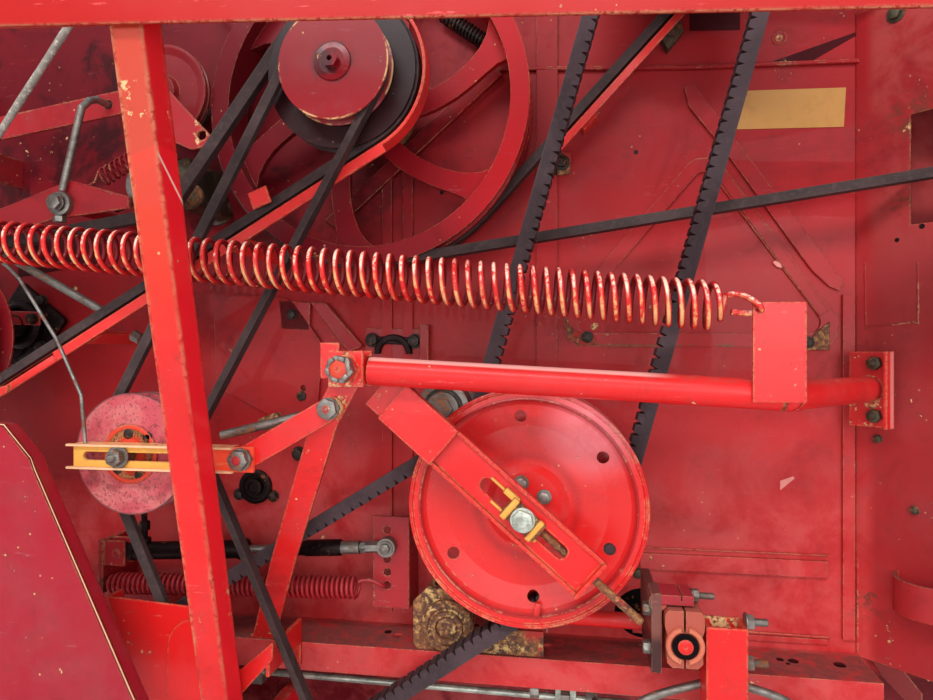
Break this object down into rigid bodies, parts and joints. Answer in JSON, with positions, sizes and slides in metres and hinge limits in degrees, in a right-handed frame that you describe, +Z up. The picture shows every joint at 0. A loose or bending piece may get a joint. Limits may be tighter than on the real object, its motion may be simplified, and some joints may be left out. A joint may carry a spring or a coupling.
{
  "type": "belt drive side of a farm harvesting machine",
  "caption": "Red steel side wall of a harvesting machine with belt pulleys, a spoked wheel, a disc idler, cogged belt, strut, springs and a leaning post",
  "frame": {"origin": "centre of the four-hole bolt pattern on the rear face of the rear frame", "axes": "+X to the right seen from the drive side, +Y through the wall into the machine, +Z up"},
  "size_m": [1.8755, 0.475, 1.457],
  "materials": {
    "wall_red": "satin",
    "front_red": "satin",
    "pulley_red": "satin",
    "steel": "worn",
    "rust_steel": "rough",
    "ochre": "worn",
    "black_iron": "greasy",
    "belt": "matte"
  },
  "bodies": {
    "bay": {"wall_left": "wall_red", "wall_right": "wall_red", "wall_ribs": "wall_red", "rear_frame": "wall_red", "hatch_cover": "wall_red", "guard_disc": "wall_red", "end_panel": "wall_red", "sill": "wall_red", "under_rods": "steel", "top_beam": "front_red", "front_post": "front_red", "bearings": "rust_steel", "idler_pins": "steel", "belt_1": "belt", "belt_2": "belt", "belt_3": "belt", "belt_r": "belt", "belt_u": "belt", "belt_cog": "belt", "belt_guard": "front_red", "guard_up": "front_red", "strut_tube": "front_red", "flag_plate": "front_red", "pivot": "front_red", "support_leg": "front_red", "disc_arm": "front_red", "disc_axle": "rust_steel", "clamp_block": "front_red", "clamp_post": "front_red", "cross_tube": "front_red", "ochre_arm": "ochre", "ochre_axle": "steel", "link_bar": "front_red", "long_spring": "front_red", "lower_spring": "front_red", "hole_bracket": "front_red", "left_arm": "front_red", "lever": "front_red", "bracket_plate": "front_red", "flange_bearing": "black_iron", "grey_rods": "steel", "side_guard": "front_red", "box_bracket": "front_red"},
    "main": {"main_shaft": "steel", "top_pulley": "pulley_red", "big_wheel": "pulley_red"},
    "small": {"small_pulley": "pulley_red"},
    "foot": {"foot_pulley": "pulley_red"},
    "left": {"left_pulley": "pulley_red"},
    "guide": {"guide_idler": "steel"},
    "right": {"right_pulley": "pulley_red"},
    "upper": {"upper_pulley": "pulley_red"},
    "disc": {"disc_idler": "pulley_red"},
    "lower": {"lower_pulley": "pulley_red"},
    "back": {"back_idler": "steel"},
    "side": {"side_disc": "pulley_red"},
    "stub": {"bearing_stub": "rust_steel"},
    "barrel_body": {"barrel": "black_iron"},
    "rod_body": {"piston_rod": "steel"}
  },
  "joints": [
    {"name": "main_turn", "type": "hinge", "parent": "bay", "child": "main", "pos_m": [-0.14, -0.15, 0.371], "axis": [0, -1, 0], "continuous": true},
    {"name": "small_turn", "type": "hinge", "parent": "bay", "child": "small", "pos_m": [-0.423, -0.15, -0.14], "axis": [0, -1, 0], "continuous": true},
    {"name": "foot_turn", "type": "hinge", "parent": "bay", "child": "foot", "pos_m": [-0.186, -0.15, -0.658], "axis": [0, -1, 0], "continuous": true},
    {"name": "left_turn", "type": "hinge", "parent": "bay", "child": "left", "pos_m": [-0.79, -0.15, 0.02], "axis": [0, -1, 0], "continuous": true},
    {"name": "guide_turn", "type": "hinge", "parent": "bay", "child": "guide", "pos_m": [-0.42, -0.15, 0.232], "axis": [0, -1, 0], "continuous": true},
    {"name": "right_turn", "type": "hinge", "parent": "bay", "child": "right", "pos_m": [0.8, -0.15, 0.374], "axis": [0, -1, 0], "continuous": true},
    {"name": "upper_turn", "type": "hinge", "parent": "bay", "child": "upper", "pos_m": [0.336, -0.15, 0.583], "axis": [0, -1, 0], "continuous": true},
    {"name": "disc_turn", "type": "hinge", "parent": "bay", "child": "disc", "pos_m": [0.105, -0.15, -0.208], "axis": [0, -1, 0], "continuous": true},
    {"name": "lower_turn", "type": "hinge", "parent": "bay", "child": "lower", "pos_m": [-0.48, -0.15, -0.592], "axis": [0, -1, 0], "continuous": true},
    {"name": "back_turn", "type": "hinge", "parent": "bay", "child": "back", "pos_m": [-0.01, -0.15, -0.08], "axis": [0, -1, 0], "continuous": true},
    {"name": "side_turn", "type": "hinge", "parent": "bay", "child": "side", "pos_m": [-0.46, -0.15, 0.397], "axis": [0, -1, 0], "continuous": true},
    {"name": "stub_turn", "type": "hinge", "parent": "bay", "child": "stub", "pos_m": [-0.014, -0.15, -0.4], "axis": [0, -1, 0], "continuous": true},
    {"name": "barrel_swing", "type": "hinge", "parent": "bay", "child": "barrel_body", "pos_m": [-0.548, -0.115, -0.32179], "axis": [0, -1, 0], "range_deg": [-1.5, 1.5]},
    {"name": "rod_slide", "type": "slide", "parent": "barrel_body", "child": "rod_body", "axis": [0.9981, 0, 0.061], "range_m": [-0.04, 0]}
  ],
  "couplings": [
    {"joint": "small_turn", "follows": "main_turn", "ratio": 1.0496},
    {"joint": "foot_turn", "follows": "main_turn", "ratio": 1.0496},
    {"joint": "left_turn", "follows": "main_turn", "ratio": 0.84615},
    {"joint": "guide_turn", "follows": "main_turn", "ratio": -2.4146},
    {"joint": "right_turn", "follows": "main_turn", "ratio": 2.0957},
    {"joint": "upper_turn", "follows": "main_turn", "ratio": 6.1795},
    {"joint": "disc_turn", "follows": "main_turn", "ratio": 5.4463},
    {"joint": "lower_turn", "follows": "main_turn", "ratio": 4.5258},
    {"joint": "back_turn", "follows": "main_turn", "ratio": -13.971}
  ]
}
